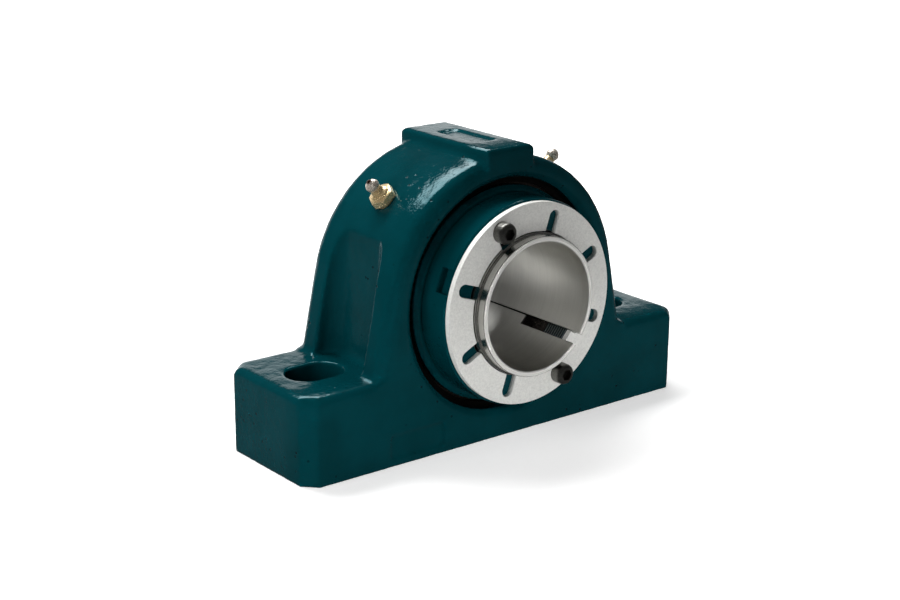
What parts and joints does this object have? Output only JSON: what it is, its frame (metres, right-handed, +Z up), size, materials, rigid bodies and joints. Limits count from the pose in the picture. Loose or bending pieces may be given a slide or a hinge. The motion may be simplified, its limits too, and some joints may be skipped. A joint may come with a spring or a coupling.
{
  "type": "plummer block",
  "caption": "One-piece cast plummer block on slotted bolt feet, with a self-aligning double-row roller bearing clamped to the shaft by a split tapered sleeve, round nut and lock plate.",
  "frame": {"origin": "middle of the base face, under the shaft axis and midway between the housing's front and back faces", "axes": "+X along the feet, +Y along the shaft axis towards the plain back, +Z up from the base; the nut and lock plate face -Y"},
  "size_m": [0.231, 0.0919, 0.1416],
  "materials": {
    "casting_paint": "glossy dark teal enamel over a rough iron casting, broken bright along the edges",
    "bearing_steel": "ground and polished bearing steel",
    "dark_steel": "dark oiled pressed steel",
    "seal_rubber": "black moulded rubber",
    "turned_steel": "bright turned steel with fine lathe marks",
    "zinc_plate": "pale speckled zinc plate",
    "black_oxide": "dark grey phosphated screw steel",
    "gold_zinc": "yellow passivated zinc",
    "cage_brass": "machined brass"
  },
  "bodies": {
    "housing_body": {"housing": "casting_paint", "outer_ring": "bearing_steel", "front_snap_ring": "dark_steel", "rear_snap_ring": "dark_steel", "left_grease_nipple": "gold_zinc", "right_grease_nipple": "gold_zinc", "left_check_spring": "bearing_steel", "right_check_spring": "bearing_steel"},
    "aligning_set": {"front_seal_carrier": "dark_steel", "rear_seal_carrier": "dark_steel", "front_seal": "seal_rubber", "rear_seal": "seal_rubber"},
    "roller_set": {"front_rollers": "bearing_steel", "rear_rollers": "bearing_steel", "front_cage": "cage_brass", "rear_cage": "cage_brass", "guide_ring": "bearing_steel"},
    "shaft_set": {"inner_ring": "bearing_steel", "front_flinger": "casting_paint", "rear_flinger": "casting_paint", "adapter_sleeve": "turned_steel", "lock_nut": "casting_paint", "lock_plate": "zinc_plate", "lock_screws": "black_oxide"},
    "left_ball": {"left_check_ball": "bearing_steel"},
    "right_ball": {"right_check_ball": "bearing_steel"}
  },
  "joints": [
    {"name": "align_tilt", "type": "hinge", "parent": "housing_body", "child": "aligning_set", "pos_m": [0, 0, 0.07], "axis": [1, 0, 0], "range_deg": [-1, 1]},
    {"name": "shaft_spin", "type": "hinge", "parent": "aligning_set", "child": "shaft_set", "pos_m": [0, 0, 0.07], "axis": [0, 1, 0], "continuous": true},
    {"name": "roller_orbit", "type": "hinge", "parent": "aligning_set", "child": "roller_set", "pos_m": [0, 0, 0.07], "axis": [0, 1, 0], "continuous": true},
    {"name": "left_ball_push", "type": "slide", "parent": "housing_body", "child": "left_ball", "axis": [0.6947, 0, -0.7193], "range_m": [0, 0.0008], "stiffness_N_per_m": 150, "springref_m": -0.001, "deforming": ["left_check_spring"]},
    {"name": "right_ball_push", "type": "slide", "parent": "housing_body", "child": "right_ball", "axis": [-0.6947, 0, -0.7193], "range_m": [0, 0.0008], "stiffness_N_per_m": 150, "springref_m": -0.001, "deforming": ["right_check_spring"]}
  ],
  "couplings": [
    {"joint": "roller_orbit", "follows": "shaft_spin", "ratio": 0.4511}
  ]
}
